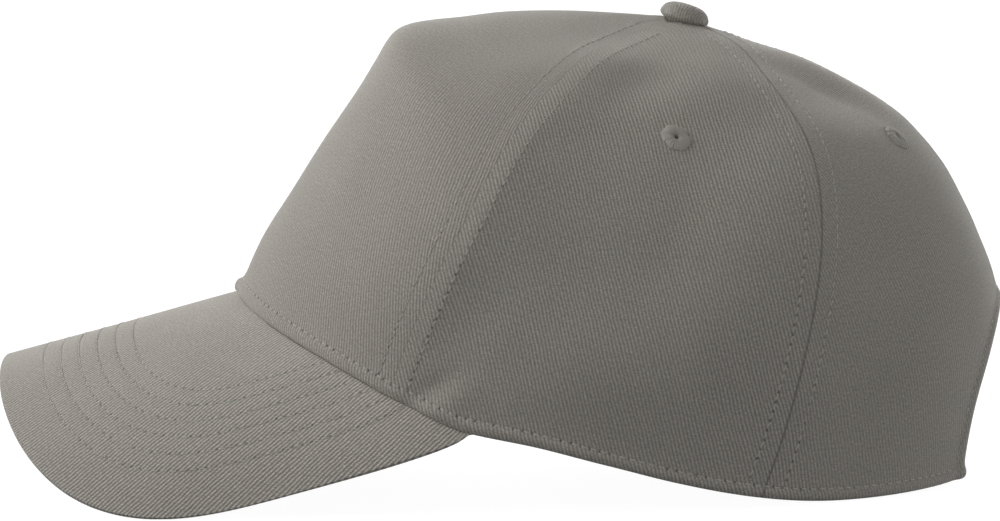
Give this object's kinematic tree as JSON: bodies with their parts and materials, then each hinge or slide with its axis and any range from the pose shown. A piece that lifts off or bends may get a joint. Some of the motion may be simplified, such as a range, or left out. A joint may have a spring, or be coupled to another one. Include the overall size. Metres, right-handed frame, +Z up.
{
  "type": "five panel cap",
  "caption": "Cotton twill cap with one wide front panel, side and rear panels, a curved peak, a covered button and an arched back opening with a strap.",
  "frame": {"origin": "on the surface that the cap stands on, under the middle of its length and width", "axes": "-Y towards the front of the peak, +Z up through the crown, +X to the wearer's left"},
  "size_m": [0.1678, 0.2724, 0.1283],
  "materials": {
    "crown_twill": "matt taupe grey cotton twill",
    "peak_twill": "matt taupe grey cotton twill over a board",
    "button_twill": "matt taupe grey cotton twill",
    "eyelet_thread": "soft satin embroidery thread",
    "strap_twill": "matt taupe grey cotton twill"
  },
  "bodies": {
    "root": {"front_panel": "crown_twill", "side_panel_left": "crown_twill", "side_panel_right": "crown_twill", "rear_panel_left": "crown_twill", "rear_panel_right": "crown_twill", "peak": "peak_twill", "button": "button_twill", "side_eyelet_left": "eyelet_thread", "side_eyelet_right": "eyelet_thread", "rear_eyelet_left": "eyelet_thread", "rear_eyelet_right": "eyelet_thread", "back_strap": "strap_twill"}
  },
  "joints": []
}
